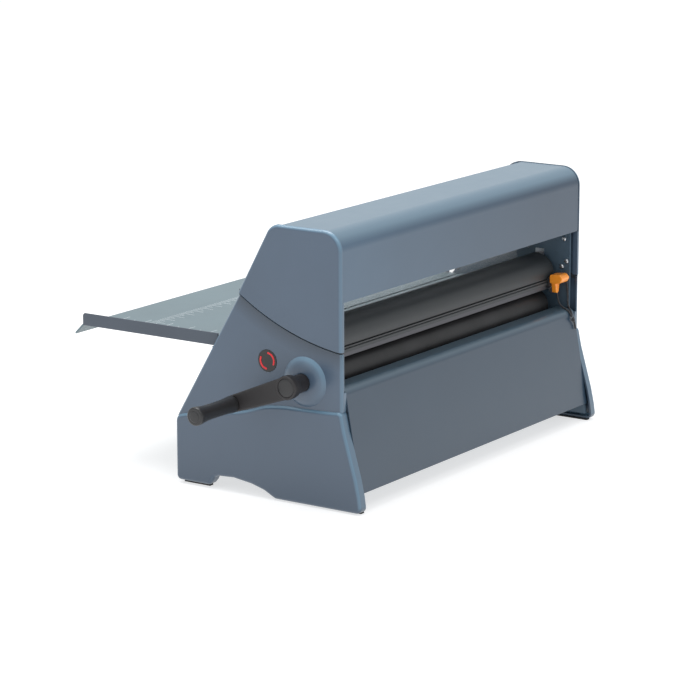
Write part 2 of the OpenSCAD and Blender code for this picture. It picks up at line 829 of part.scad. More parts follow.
module hood_knuckles() {
    color(body_c) difference() {
        for (x = [-300, -100, 100, 300]) along_x(x - 12, x + 12) intersection() {
            union() {
                translate(hood_axis) circle(r = knuckle_r);
                translate([hood_axis.x - 14, hood_axis.y]) square([14, 10]);
            }
            polygon(inset(upper_outline, hood_in));
        }
        bar_x(hood_axis, hinge_rod_r + running, -340, 340);
    }
}

left_cover_lower();
left_cover_upper();
right_cover_lower();
right_cover_upper();
left_side_frame();
right_side_frame();
base_pan();
front_cover();
rear_cover();
rear_top_panel();
tie_rods();
feed_shelf();
tray_brackets();
tray_hinge_rod();
hood_hinge_rod();
roller_guard();
cutter_rail();
cutting_strip();
lower_bearings();
upper_bearing_blocks();
pressure_springs();
spring_seats();
supply_brackets();
rubber_feet();
direction_badge();
badge_arrows();
frame_screws();
crank_bushing();
upper_film_web();
lower_film_web();
lower_roller_shaft();
lower_roller();
lower_gear();
crank_hub();
crank_arm();
crank_cap();
crank_set_screw();
crank_pin();
upper_roller_shaft();
upper_roller();
upper_gear();
crank_grip();
grip_end_cap();
upper_supply_core();
upper_supply_film();
upper_supply_plugs();
lower_supply_core();
lower_supply_film();
lower_supply_plugs();
cutter_slider();
cutter_knob();
cutter_blade();
pull_cord();
pull_cord_return();
cord_knot();
feed_tray();
tray_knuckles();
hood();
hood_knuckles();
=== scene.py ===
"""Looks of the cold roll laminator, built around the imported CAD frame."""
import json
import math

import bmesh
import bpy
from mathutils import Matrix, Vector
from mathutils.geometry import interpolate_bezier


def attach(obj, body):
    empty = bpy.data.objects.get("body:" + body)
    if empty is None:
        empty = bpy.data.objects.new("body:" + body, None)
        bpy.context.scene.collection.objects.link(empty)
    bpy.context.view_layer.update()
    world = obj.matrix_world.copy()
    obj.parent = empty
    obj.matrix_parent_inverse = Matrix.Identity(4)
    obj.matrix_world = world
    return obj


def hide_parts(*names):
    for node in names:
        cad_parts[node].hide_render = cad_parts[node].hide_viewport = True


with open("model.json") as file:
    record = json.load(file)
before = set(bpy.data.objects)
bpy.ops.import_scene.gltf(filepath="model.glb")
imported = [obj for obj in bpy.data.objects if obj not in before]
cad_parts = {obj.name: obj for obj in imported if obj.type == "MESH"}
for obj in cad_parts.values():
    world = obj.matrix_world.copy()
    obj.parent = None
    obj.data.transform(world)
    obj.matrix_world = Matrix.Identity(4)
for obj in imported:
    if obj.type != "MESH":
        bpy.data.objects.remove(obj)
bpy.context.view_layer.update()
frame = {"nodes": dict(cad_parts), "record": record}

MM = 0.001

# Stations and outlines, in millimetres from the base point of the CAD's side profile
BASE_Y, BASE_Z = -7.5, 7.0
HALF_W = 362.0
MID_X = 357.5
UPPER_X = 360.0
RIM_X = 345.0
FRONT_RIM_X = 350.5
HOOD_X = 353.0
FILLET = 6.0
WALL = 3.2
REAR_Y = 183.0
EDGE_Y = -131.0
TOP_Z = 426.0
LOWER_AXIS = (-63.5, 188.6)
UPPER_AXIS = (-63.5, 243.2)
SEAM_CENTRE = (-184.0, 666.0)
SEAM_R = 428.0
TRAY_TOP = 220.6
TRAY_T = 3.2
TRAY_HALF = 337.0
TRAY_EDGE = 387.0


def spot(x, y, z):
    """Point in metres from millimetres measured from the base point."""
    return (x * MM, (y + BASE_Y) * MM, (z + BASE_Z) * MM)


# ---- Camera ----

def add_camera():
    azimuth, elevation = math.radians(-56.23), math.radians(13.36)
    back = Vector((math.sin(azimuth) * math.cos(elevation),
                   -math.cos(azimuth) * math.cos(elevation), math.sin(elevation)))
    right = Vector((0, 0, 1)).cross(back).normalized()
    up = back.cross(right)
    data = bpy.data.cameras.new("camera")
    data.sensor_width = 36.0
    data.lens = 150.6
    data.shift_x = -0.0317
    data.shift_y = 0.0245
    camera = bpy.data.objects.new("camera", data)
    turn = Matrix((right, up, back)).transposed().to_4x4()
    camera.matrix_world = Matrix.Translation((-3.8933, -2.5581, 1.2447)) @ turn
    bpy.context.collection.objects.link(camera)
    bpy.context.scene.camera = camera


add_camera()


# ---- Outline helpers, all on (y, z) points in millimetres ----

def arc(centre, radius, start, stop, steps=8):
    angles = [math.radians(start + (stop - start) * i / steps) for i in range(steps + 1)]
    return [(centre[0] + radius * math.cos(a), centre[1] + radius * math.sin(a))
            for a in angles]


def normal(a, b):
    """Unit normal to the left of the line from a to b."""
    dy, dz = b[0] - a[0], b[1] - a[1]
    size = math.hypot(dy, dz)
    return (-dz / size, dy / size)


def corner_shift(n1, n2, d1, d2):
    """Move of a corner whose two edges move along their normals by d1 and d2."""
    cross = n1[0] * n2[1] - n1[1] * n2[0]
    if abs(cross) < 0.02:
        mean = (d1 + d2) / 2
        return (n1[0] * mean, n1[1] * mean)
    return ((d1 * n2[1] - d2 * n1[1]) / cross, (d2 * n1[0] - d1 * n2[0]) / cross)


def inset(points, distance, held=()):
    """Closed anticlockwise outline moved inwards; edges that start at a held index stay."""
    count = len(points)
    moves = [0.0 if i in held else distance for i in range(count)]
    normals = [normal(points[i], points[(i + 1) % count]) for i in range(count)]
    result = []
    for i, (y, z) in enumerate(points):
        dy, dz = corner_shift(normals[i - 1], normals[i], moves[i - 1], moves[i])
        result.append((y + dy, z + dz))
    return result


def strip(path, thickness):
    """Outline of an open path given a thickness to its left."""
    normals = [normal(a, b) for a, b in zip(path, path[1:])]
    ends = [normals[0]] + normals + [normals[-1]]
    other = []
    for i, (y, z) in enumerate(path):
        dy, dz = corner_shift(ends[i], ends[i + 1], thickness, thickness)
        other.append((y + dy, z + dz))
    return list(path) + other[::-1]


def rounded(points, radii, steps=6):
    """Closed outline with the corners at the given indices turned into arcs."""
    count = len(points)
    result = []
    for i, point in enumerate(points):
        radius = radii.get(i)
        if radius is None:
            result.append(point)
            continue
        here = Vector(point)
        before = (Vector(points[i - 1]) - here).normalized()
        after = (Vector(points[(i + 1) % count]) - here).normalized()
        half = before.angle(after) / 2
        reach = radius / math.tan(half)
        first, last = here + before * reach, here + after * reach
        middle = here + (before + after).normalized() * radius / math.sin(half)
        a0 = math.atan2(*(first - middle).yx)
        a1 = math.atan2(*(last - middle).yx)
        sweep = (a1 - a0 + math.pi) % (2 * math.pi) - math.pi
        for k in range(steps + 1):
            a = a0 + sweep * k / steps
            result.append((middle[0] + radius * math.cos(a), middle[1] + radius * math.sin(a)))
    return result


def smooth(points, steps=4):
    """Catmull-Rom curve through an open row of points."""
    rows = [Vector(p) for p in points]
    rows = [2 * rows[0] - rows[1]] + rows + [2 * rows[-1] - rows[-2]]
    result = []
    for p0, p1, p2, p3 in zip(rows, rows[1:], rows[2:], rows[3:]):
        knots = interpolate_bezier(p1.to_3d(), (p1 + (p2 - p0) / 6).to_3d(),
                                   (p2 - (p3 - p1) / 6).to_3d(), p2.to_3d(), steps + 1)
        result += [tuple(k.xy) for k in knots[:-1]]
    return result + [tuple(points[-1])]


# ---- Mesh helpers ----

def add_loft(bm, outline, rings, held=()):
    """Solid through the outline at each (x, inset) ring, closed at both ends."""
    rows = []
    for x, shift in rings:
        points = inset(outline, shift, held) if shift else outline
        rows.append([bm.verts.new(spot(x, y, z)) for y, z in points])
    count = len(outline)
    for low, high in zip(rows, rows[1:]):
        for i in range(count):
            j = (i + 1) % count
            bm.faces.new((low[i], low[j], high[j], high[i]))
    bm.faces.new(rows[0])
    bm.faces.new(rows[-1])


def add_prism(bm, outline, x0, x1):
    add_loft(bm, outline, [(x0, 0), (x1, 0)])


def add_lathe(bm, profile, centre, segments=96):
    """Solid turned about an axis along X; profile is (radius, x), closed on the axis."""
    rows = []
    for radius, x in profile:
        if radius < 1e-6:
            rows.append([bm.verts.new(spot(x, *centre))])
            continue
        row = []
        for k in range(segments):
            a = 2 * math.pi * k / segments
            row.append(bm.verts.new(spot(x, centre[0] + radius * math.cos(a),
                                         centre[1] + radius * math.sin(a))))
        rows.append(row)
    pairs = list(zip(rows, rows[1:]))
    if len(rows[0]) > 1 and len(rows[-1]) > 1:
        pairs.append((rows[-1], rows[0]))
    for low, high in pairs:
        for k in range(segments):
            j = (k + 1) % segments
            ring = [low[k % len(low)], low[j % len(low)], high[j % len(high)],
                    high[k % len(high)]]
            corners = [v for i, v in enumerate(ring) if v not in ring[:i]]
            if len(corners) > 2:
                bm.faces.new(corners)


def soften(bm, width, segments=2, limit=35):
    """Bevel the edges sharper than the limit."""
    bmesh.ops.recalc_face_normals(bm, faces=bm.faces)
    edges = [e for e in bm.edges if len(e.link_faces) == 2
             and e.calc_face_angle(0) > math.radians(limit)]
    bmesh.ops.bevel(bm, geom=edges, offset=width * MM, segments=segments, profile=0.5,
                    affect="EDGES", clamp_overlap=True)


def shade(bm, limit):
    """Smooth faces with sharp edges where the angle is over the limit."""
    bmesh.ops.recalc_face_normals(bm, faces=bm.faces)
    for face in bm.faces:
        face.smooth = True
    for edge in bm.edges:
        edge.smooth = len(edge.link_faces) == 2 and edge.calc_face_angle(0) < math.radians(limit)


def to_object(name, bm):
    mesh = bpy.data.meshes.new(name)
    bm.to_mesh(mesh)
    bm.free()
    obj = bpy.data.objects.new(name, mesh)
    bpy.context.collection.objects.link(obj)
    return obj


def solid(draw, *args, **options):
    """Object of one drawing call, used as an operand."""
    bm = bmesh.new()
    draw(bm, *args, **options)
    bmesh.ops.recalc_face_normals(bm, faces=bm.faces)
    return to_object("operand", bm)


def combine(joined, cut=()):
    """Bmesh of the joined objects less the cut ones; the operands are removed."""
    base = joined[0]
    for others, operation in ((joined[1:], "UNION"), (cut, "DIFFERENCE")):
        for other in others:
            modifier = base.modifiers.new(operation, "BOOLEAN")
            modifier.operation = operation
            modifier.object = other
            modifier.solver = "EXACT"
    bpy.context.view_layer.update()
    graph = bpy.context.evaluated_depsgraph_get()
    bm = bmesh.new()
    bm.from_object(base, graph)
    for obj in list(joined) + list(cut):
        mesh = obj.data
        bpy.data.objects.remove(obj)
        bpy.data.meshes.remove(mesh)
    bmesh.ops.remove_doubles(bm, verts=bm.verts, dist=1e-6)
    return bm


def mirrored(bm):
    bmesh.ops.scale(bm, vec=(-1, 1, 1), verts=bm.verts)
    bmesh.ops.reverse_faces(bm, faces=bm.faces)
    return bm


def piece(name, bm, body, slot, nodes=(), limit=32, finish=None):
    """Finished piece that rides on a body and stands for CAD nodes."""
    shade(bm, limit)
    obj = to_object(name, bm)
    obj.data.materials.append(materials[finish or slot])
    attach(obj, body)
    if nodes:
        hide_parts(*nodes)
    weighted = obj.modifiers.new("weighted", "WEIGHTED_NORMAL")
    weighted.keep_sharp = True
    return obj


# ---- Materials ----

class Shader:
    """Small wrapper round a node tree with one Principled surface."""

    def __init__(self, name):
        self.material = bpy.data.materials.new(name)
        self.material.use_nodes = True
        self.tree = self.material.node_tree
        self.surface = self.tree.nodes["Principled BSDF"]
        self.place = self.node("ShaderNodeTexCoord").outputs["Object"]

    def node(self, kind, **settings):
        made = self.tree.nodes.new(kind)
        for key, value in settings.items():
            if key in made.inputs:
                made.inputs[key].default_value = value
            else:
                setattr(made, key, value)
        return made

    def link(self, output, target):
        self.tree.links.new(output, target)

    def set(self, **values):
        for key, value in values.items():
            self.surface.inputs[key.replace("_", " ")].default_value = value

    def noise(self, scale, detail=3.0, stretch=(1, 1, 1)):
        mapping = self.node("ShaderNodeMapping")
        mapping.inputs["Scale"].default_value = stretch
        self.link(self.place, mapping.inputs["Vector"])
        made = self.node("ShaderNodeTexNoise", Scale=scale, Detail=detail)
        self.link(mapping.outputs["Vector"], made.inputs["Vector"])
        return made.outputs["Fac"]

    def ramp(self, source, stops):
        made = self.node("ShaderNodeValToRGB")
        elements = made.color_ramp.elements
        while len(elements) < len(stops):
            elements.new(0.5)
        for element, (at, colour) in zip(elements, stops):
            element.position = at
            element.color = (*colour, 1) if len(colour) == 3 else colour
        self.link(source, made.inputs["Fac"])
        return made.outputs["Color"]

    def blend(self, colour, tint, share):
        """Colour output mixed with a fixed tint by a share output."""
        made = self.node("ShaderNodeMix", data_type="RGBA")
        self.link(share, made.inputs["Factor"])
        self.link(colour, made.inputs[6])
        made.inputs[7].default_value = (*tint, 1)
        return made.outputs[2]

    def spread(self, source, low, high):
        made = self.node("ShaderNodeMapRange")
        made.inputs["To Min"].default_value = low
        made.inputs["To Max"].default_value = high
        self.link(source, made.inputs["Value"])
        return made.outputs["Result"]

    def bump(self, *layers):
        """Bump from (height source, strength, distance in metres) layers."""
        last = None
        for source, strength, distance in layers:
            made = self.node("ShaderNodeBump", Strength=strength, Distance=distance)
            self.link(source, made.inputs["Height"])
            if last:
                self.link(last, made.inputs["Normal"])
            last = made.outputs["Normal"]
        self.link(last, self.surface.inputs["Normal"])


def shades(colour, spread):
    """Darker and lighter neighbours of a colour."""
    return ([max(c * (1 - spread), 0) for c in colour], [min(c * (1 + spread), 1) for c in colour])


def painted_edge_highlight(s, colour, tint, low=0.05):
    """Painted highlight: rounded edges and domes that turn away from the end faces are tinted
    paler, most of all above and least where they face the rear.
    """
    parts = s.node("ShaderNodeSeparateXYZ")
    s.link(s.node("ShaderNodeTexCoord").outputs["Normal"], parts.inputs["Vector"])
    side = s.node("ShaderNodeMath", operation="ABSOLUTE")
    s.link(parts.outputs["X"], side.inputs[0])
    turned = s.ramp(side.outputs[0], [(0.05, (0.5, 0.5, 0.5)), (0.45, (1, 1, 1)),
                                      (0.85, (0.7, 0.7, 0.7)), (0.99, (0, 0, 0))])
    above = s.node("ShaderNodeMapRange")
    above.inputs["From Min"].default_value = -0.35
    above.inputs["From Max"].default_value = 0.6
    above.inputs["To Min"].default_value = low
    s.link(parts.outputs["Z"], above.inputs["Value"])
    front = s.node("ShaderNodeMapRange")
    front.inputs["From Min"].default_value = 0.75
    front.inputs["From Max"].default_value = -0.1
    front.inputs["To Min"].default_value = 0.3
    s.link(parts.outputs["Y"], front.inputs["Value"])
    share = turned
    for factor in (above, front):
        product = s.node("ShaderNodeMath", operation="MULTIPLY")
        s.link(share, product.inputs[0])
        s.link(factor.outputs["Result"], product.inputs[1])
        share = product.outputs[0]
    return s.blend(colour, tint, share)


def painted_seam_shadow(s, colour, tint, reach):
    """Painted shadow under the proud upper cover: darker towards the seam between the covers, over
    the reach in metres.
    """
    flat = s.node("ShaderNodeVectorMath", operation="MULTIPLY")
    flat.inputs[1].default_value = (0, 1, 1)
    s.link(s.place, flat.inputs[0])
    away = s.node("ShaderNodeVectorMath", operation="DISTANCE")
    away.inputs[1].default_value = spot(0, *SEAM_CENTRE)
    s.link(flat.outputs[0], away.inputs[0])
    share = s.node("ShaderNodeMapRange")
    share.inputs["From Min"].default_value = SEAM_R * MM
    share.inputs["From Max"].default_value = SEAM_R * MM + reach
    share.inputs["To Min"].default_value = 0.75
    share.inputs["To Max"].default_value = 0.0
    s.link(away.outputs["Value"], share.inputs["Value"])
    return s.blend(colour, tint, share.outputs["Result"])


def satin(s, coat, coat_rough):
    """Fine-grained satin surface under a thin coat; gives back the finished material."""
    s.link(s.spread(s.noise(23, 5), 0.30, 0.38), s.surface.inputs["Roughness"])
    s.set(Coat_Weight=coat, Coat_Roughness=coat_rough)
    s.bump((s.noise(900, 2), 0.35, 0.00006), (s.noise(2200, 1), 0.2, 0.00002),
           (s.noise(9, 2), 0.08, 0.0006))
    return s.material


def enamel(name, colour, seam_shadow=False):
    """Satin moulding of the end covers, with a painted highlight on the rounded edges, painted
    shade towards the bottom and, with seam_shadow, a painted shadow below the seam.
    """
    s = Shader(name)
    dark, light = shades(colour, 0.05)
    base = s.ramp(s.noise(6, 4), [(0.35, dark), (0.65, light)])
    height = s.node("ShaderNodeSeparateXYZ")
    s.link(s.place, height.inputs["Vector"])
    # Painted shade: darker towards the bottom of the covers.
    low = s.node("ShaderNodeMapRange")
    low.inputs["From Min"].default_value = 0.20
    low.inputs["From Max"].default_value = 0.02
    s.link(height.outputs["Z"], low.inputs["Value"])
    base = s.blend(base, [c * 0.82 for c in colour], low.outputs["Result"])
    # Painted shadow below the seam, where the proud upper cover shades the lower one.
    if seam_shadow:
        base = painted_seam_shadow(s, base, [c * 0.3 for c in colour], 0.03)
    # Painted highlight: paler blue tint on rounded edges and domes.
    s.link(painted_edge_highlight(s, base, (0.17, 0.30, 0.41)), s.surface.inputs["Base Color"])
    return satin(s, 0.35, 0.2)


def long_cover(name, near, far, top):
    """Satin cover between the ends, with painted shade deepening towards the far end and a painted
    highlight where it faces up.
    """
    s = Shader(name)
    parts = s.node("ShaderNodeSeparateXYZ")
    s.link(s.place, parts.inputs["Vector"])
    # Painted shade: the colour deepens towards +X, the far end.
    along = s.node("ShaderNodeMapRange")
    along.inputs["From Min"].default_value = -0.35
    along.inputs["From Max"].default_value = 0.25
    s.link(parts.outputs["X"], along.inputs["Value"])
    dark, light = shades(near, 0.05)
    base = s.ramp(s.noise(6, 4), [(0.35, dark), (0.65, light)])
    base = s.blend(base, far, along.outputs["Result"])
    # Painted light: paler where the surface faces up.
    facing = s.node("ShaderNodeSeparateXYZ")
    s.link(s.node("ShaderNodeTexCoord").outputs["Normal"], facing.inputs["Vector"])
    upward = s.node("ShaderNodeMapRange")
    upward.inputs["From Min"].default_value = 0.3
    upward.inputs["From Max"].default_value = 0.7
    s.link(facing.outputs["Z"], upward.inputs["Value"])
    s.link(s.blend(base, top, upward.outputs["Result"]), s.surface.inputs["Base Color"])
    return satin(s, 0.3, 0.25)


def moulded(name, colour, rough=(0.38, 0.48), grain=900, grain_depth=0.00006, spread=0.05,
            coat=0.0, scuff=2200):
    """Painted or moulded surface: slow colour drift, fine grain and rubbed patches."""
    s = Shader(name)
    dark, light = shades(colour, spread)
    s.link(s.ramp(s.noise(6, 4), [(0.35, dark), (0.65, light)]), s.surface.inputs["Base Color"])
    s.link(s.spread(s.noise(23, 5), *rough), s.surface.inputs["Roughness"])
    s.set(Coat_Weight=coat, Coat_Roughness=0.25)
    s.bump((s.noise(grain, 2), 0.35, grain_depth), (s.noise(scuff, 1), 0.2, grain_depth / 3),
           (s.noise(9, 2), 0.08, 0.0006))
    return s.material


def brushed(name, colour, rough=(0.22, 0.36), along=(1, 60, 60), scale=40):
    """Metal with fine drawn lines along X."""
    s = Shader(name)
    dark, light = shades(colour, 0.12)
    lines = s.noise(scale, 4, along)
    s.link(s.ramp(lines, [(0.3, dark), (0.7, light)]), s.surface.inputs["Base Color"])
    s.link(s.spread(lines, *rough), s.surface.inputs["Roughness"])
    s.set(Metallic=1.0)
    s.bump((lines, 0.15, 0.00004))
    return s.material


def roller_rubber(name):
    """Ground black rubber: faint rings round the roller and a dull bloom."""
    s = Shader(name)
    rings = s.noise(30, 3, (40, 1, 1))
    s.link(s.ramp(s.noise(14, 4), [(0.3, (0.012, 0.012, 0.013)), (0.75, (0.028, 0.028, 0.030))]),
           s.surface.inputs["Base Color"])
    s.link(s.spread(rings, 0.45, 0.62), s.surface.inputs["Roughness"])
    s.bump((rings, 0.2, 0.00006), (s.noise(1500, 2), 0.3, 0.00003))
    return s.material


def clear_film(name, alpha, roughness):
    """Thin clear film with soft streaks where it is stretched."""
    s = Shader(name)
    streaks = s.noise(9, 4, (1.4, 6, 0.8))
    s.set(Base_Color=(0.93, 0.95, 0.97, 1), Roughness=roughness, IOR=1.49)
    s.link(s.spread(streaks, alpha[0], alpha[1]), s.surface.inputs["Alpha"])
    s.bump((streaks, 0.35, 0.0012), (s.noise(60, 3, (0.4, 3, 1)), 0.15, 0.0003))
    return s.material


def wound_film(name):
    """Side of a roll of film: many fine turns, glossy and slightly milky."""
    s = Shader(name)
    turns = s.noise(70, 3, (0.3, 14, 14))
    s.link(s.ramp(turns, [(0.3, (0.66, 0.70, 0.73)), (0.7, (0.82, 0.85, 0.87))]),
           s.surface.inputs["Base Color"])
    s.link(s.spread(turns, 0.12, 0.24), s.surface.inputs["Roughness"])
    s.set(Coat_Weight=0.5, Coat_Roughness=0.08)
    s.bump((turns, 0.1, 0.00008))
    return s.material


def card(name):
    """Spiral-wound paper tube."""
    s = Shader(name)
    fibres = s.noise(160, 5, (3, 1, 1))
    s.link(s.ramp(fibres, [(0.3, (0.36, 0.25, 0.15)), (0.7, (0.52, 0.39, 0.26))]),
           s.surface.inputs["Base Color"])
    s.set(Roughness=0.85)
    s.bump((fibres, 0.4, 0.0001))
    return s.material


def braid(name):
    """Braided cord: crossed strands with a soft sheen."""
    s = Shader(name)
    wave = s.node("ShaderNodeTexWave", Scale=420, Distortion=2.0)
    s.link(s.place, wave.inputs["Vector"])
    strands = s.ramp(wave.outputs["Fac"], [(0.2, (0.010, 0.010, 0.012)),
                                           (0.8, (0.035, 0.035, 0.040))])
    s.link(strands, s.surface.inputs["Base Color"])
    s.set(Roughness=0.62, Sheen_Weight=0.25, Sheen_Roughness=0.4)
    s.bump((wave.outputs["Fac"], 0.5, 0.0002))
    return s.material


BODY = (0.062, 0.096, 0.144)
materials = {
    # body_plastic: painted highlight on rounded edges, painted shade towards the bottom.
    "body_plastic": enamel("body_plastic", BODY),
    # lower_plastic: the same, plus a painted shadow below the seam.
    "lower_plastic": enamel("lower_plastic", BODY, seam_shadow=True),
    # hood_plastic: painted shade towards the far end, painted light on up-facing faces;
    # front_plastic: a darker copy of the body colour as painted shade, paler on up-facing faces as
    # painted light.
    "hood_plastic": long_cover("hood_plastic", (0.054, 0.104, 0.164), (0.024, 0.052, 0.090),
                               (0.112, 0.182, 0.242)),
    "front_plastic": long_cover("front_plastic", (0.026, 0.052, 0.084), (0.026, 0.052, 0.084),
                                (0.080, 0.128, 0.170)),
    "frame_paint": moulded("frame_paint", (0.062, 0.099, 0.136), rough=(0.36, 0.46), grain=1300),
    # groove_dark: painted shade in the seam gap between the covers.
    "groove_dark": moulded("groove_dark", (0.030, 0.033, 0.038), rough=(0.7, 0.8)),
    "tray_paint": moulded("tray_paint", (0.128, 0.182, 0.204), rough=(0.34, 0.42), grain=1500),
    # tray_edge: a darker copy of the tray paint, painted shade on the side flanges.
    "tray_edge": moulded("tray_edge", (0.062, 0.078, 0.102), rough=(0.40, 0.5), grain=1500),
    "guard_black": moulded("guard_black", (0.027, 0.031, 0.034), rough=(0.44, 0.52), grain=700),
    "strip_metal": brushed("strip_metal", (0.10, 0.10, 0.11), (0.38, 0.48)),
    "rubber": roller_rubber("rubber"),
    "foot_rubber": moulded("foot_rubber", (0.02, 0.02, 0.02), rough=(0.7, 0.85), grain=1600),
    "steel": brushed("steel", (0.56, 0.57, 0.59)),
    "gear_plastic": moulded("gear_plastic", (0.70, 0.68, 0.62), rough=(0.35, 0.5), grain=800),
    "crank_black": moulded("crank_black", (0.016, 0.014, 0.015), rough=(0.46, 0.58), grain=1800,
                           grain_depth=0.00012, spread=0.12),
    "grip_black": moulded("grip_black", (0.018, 0.018, 0.019), rough=(0.30, 0.42), grain=1400,
                          spread=0.15),
    "badge_black": moulded("badge_black", (0.018, 0.014, 0.014), rough=(0.28, 0.36), grain=2400),
    "badge_red": moulded("badge_red", (0.78, 0.012, 0.022), rough=(0.30, 0.40), grain=2400),
    "film": clear_film("film", (0.10, 0.34), 0.16),
    "film_roll": wound_film("film_roll"),
    "core_card": card("core_card"),
    "plug_plastic": moulded("plug_plastic", (0.025, 0.025, 0.027), rough=(0.42, 0.55)),
    "cutter_orange": moulded("cutter_orange", (0.93, 0.30, 0.022), rough=(0.28, 0.38), grain=500,
                             spread=0.1, coat=0.3),
    "cord": braid("cord"),
    "tick_white": moulded("tick_white", (0.72, 0.76, 0.78), rough=(0.5, 0.6), grain=2400),
}
slot_of = {part["node"]: part["material_slot"] for part in frame["record"]["subparts"]}
for node_name, node_object in frame["nodes"].items():
    node_object.data.materials.clear()
    node_object.data.materials.append(materials[slot_of[node_name]])


# ---- Pull cord: two strands from the cutter to the knot ----

CORD_R = 1.5
CORD_ROUTE = [
    (332, -114, 236), (333.5, -114, 236), (335.6, -114.6, 235.4), (337.3, -115.8, 233.6),
    (338, -117.2, 230.8), (338, -118.8, 226), (337.4, -120.4, 219), (336.8, -121.3, 210),
    (336.2, -121.8, 201), (335.6, -122.6, 193), (334.8, -126, 186), (333.6, -130.4, 180),
    (332.4, -133, 173.5)]
RETURN_ROUTE = [
    (323.5, -106, 214.25), (324.6, -106, 213.3), (325.6, -106.5, 211.2), (326, -107.1, 208.4),
    (325.8, -108.6, 202), (325.6, -111.5, 195), (326, -116.5, 189.2), (327, -122.4, 186.2),
    (328.2, -128.2, 182.4), (329.4, -132, 176.5), (330, -133.4, 172.5)]
KNOT = (331.2, -136.2, 168.5)
TAIL_ROUTE = [KNOT, (334, -136.4, 164), (336.4, -136.6, 158), (337.4, -137.4, 151)]


def curve_object(name, route, radius):
    """Round cord along the route, in millimetres."""
    data = bpy.data.curves.new(name, "CURVE")
    data.dimensions = "3D"
    data.bevel_depth = radius * MM
    data.bevel_resolution = 5
    data.resolution_u = 6
    data.use_fill_caps = True
    spline = data.splines.new("POLY")
    spline.points.add(len(route) - 1)
    for point, place in zip(spline.points, route):
        point.co = (*spot(*place), 1)
    obj = bpy.data.objects.new(name, data)
    bpy.context.collection.objects.link(obj)
    data.materials.append(materials["cord"])
    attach(obj, "cutter")
    return obj


def fine_route(route, steps=4):
    """Catmull-Rom points through the route."""
    rows = [Vector(p) for p in route]
    rows = [2 * rows[0] - rows[1]] + rows + [2 * rows[-1] - rows[-2]]
    result = []
    for p0, p1, p2, p3 in zip(rows, rows[1:], rows[2:], rows[3:]):
        result += interpolate_bezier(p1, p1 + (p2 - p0) / 6, p2 - (p3 - p1) / 6, p2,
                                     steps + 1)[:-1]
    return [tuple(p) for p in result] + [tuple(route[-1])]


def add_cords():
    turns = 2.4
    steps = 60
    knot_route = []
    for i in range(steps + 1):
        a = 2 * math.pi * turns * i / steps
        reach = 2.7 + 0.35 * math.sin(3 * a)
        knot_route.append((KNOT[0] + reach * math.cos(a), KNOT[1] + 1.1 * math.sin(2 * a + 0.5),
                           KNOT[2] + reach * math.sin(a) + 1.2 * (i / steps - 0.5)))
    knot = curve_object("cord_knot_wraps", knot_route, 1.25)
    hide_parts("cord_knot")
    tail = curve_object("cord_tail", fine_route(TAIL_ROUTE), CORD_R)
    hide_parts("cord_knot")
    for name, node, route in (("pull_cord_strand", "pull_cord", CORD_ROUTE),
                              ("return_cord_strand", "pull_cord_return", RETURN_ROUTE)):
        points = fine_route(route)
        strand = curve_object(name, points, CORD_R)
        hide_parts(node)


add_cords()


# ---- End covers ----

def lower_slant_y(z):
    return REAR_Y - 0.592 * (z - 102.5)


def upper_slant_y(z):
    return 60.5 - 0.552 * (z - 314)


ARCH = rounded([(-40, -5), (-7, -5), (14, 5.5), (38, 12), (72, 16.5), (100, 15), (109, 12),
                (112, 6), (119, -2), (140, -2)], {1: 14, 2: 20, 6: 5, 8: 8})[1:-1]
FOOT_FRONT = [(-137.5, 119), (-145.4, 92), (-158.5, 47), (-164.5, 20)]
LEDGE = smooth([(REAR_Y, 102.5), (155, 109.5), (100, 118.5), (50, 128), (14, 140), (-10, 144),
                (-33, 146), (-68, 146.4), (-113, 148), (EDGE_Y, 150)])[2:-2]
BACK_ARC = arc((-16.7, TOP_Z - 26), 26, 28.9, 90, 12)
TOP_CORNERS = BACK_ARC + arc((EDGE_Y + 32, TOP_Z - 32), 32, 90, 180, 14)


def seam_z(y, gap=0.0):
    return SEAM_CENTRE[1] - math.sqrt((SEAM_R + gap) ** 2 - (y - SEAM_CENTRE[0]) ** 2)


def seam_points(y_from, y_to, gap=0.0, steps=28):
    """Points on the seam between the lower and upper covers."""
    ys = [y_from + (y_to - y_from) * i / steps for i in range(steps + 1)]
    return [(y, seam_z(y, gap)) for y in ys]


def outer_rings(face_x, start=RIM_X, steps=8, radius=FILLET):
    rings = [(-start, 0)]
    for i in range(steps + 1):
        a = math.pi / 2 * i / steps
        rings.append((-(face_x - radius + radius * math.sin(a)), radius * (1 - math.cos(a))))
    return rings


def bulge_outline():
    corners = [(-168, -5)] + ARCH + [(REAR_Y, -2), (REAR_Y, 102.5)] + LEDGE + [(EDGE_Y, 150)]
    last = len(corners) - 1
    rear_foot = len(ARCH) + 1
    return rounded(corners + FOOT_FRONT, {0: 9, rear_foot: 8, rear_foot + 1: 12, last: 7.5})


SEAM_GAP = 3.0


def middle_outline():
    """Cover face between the ledge and the seam; its last edges lie inside the bulge."""
    seam = seam_points(lower_slant_y(310.3), EDGE_Y, gap=SEAM_GAP)
    points = [(REAR_Y, 102.5)] + seam + [(EDGE_Y, 150), (-120, 118), (0, 106), (142, 84)]
    held = set(range(1, len(seam))) | set(range(len(seam) + 1, len(points)))
    return points, held


def add_box(bm, low, high):
    size = [(b - a) * MM for a, b in zip(low, high)]
    middle = spot(*((a + b) / 2 for a, b in zip(low, high)))
    made = bmesh.ops.create_cube(bm, size=1, matrix=Matrix.Translation(middle)
                                 @ Matrix.Diagonal((*size, 1)))
    return made["verts"]


BADGE_CENTRE = (6.5, 212.2)
BOSS = smooth([(39, 0), (37, 1.6), (33, 4.2), (27.5, 6.3), (21, 7.6), (15.2, 8), (14.2, 7.7),
               (13.5, 6.8)], 3)


def boss_profile(x_in):
    profile = [(0, -x_in), (39, -x_in)]
    profile += [(r, -(MID_X + h)) for r, h in BOSS]
    return profile + [(0, -(MID_X + BOSS[-1][1]))]


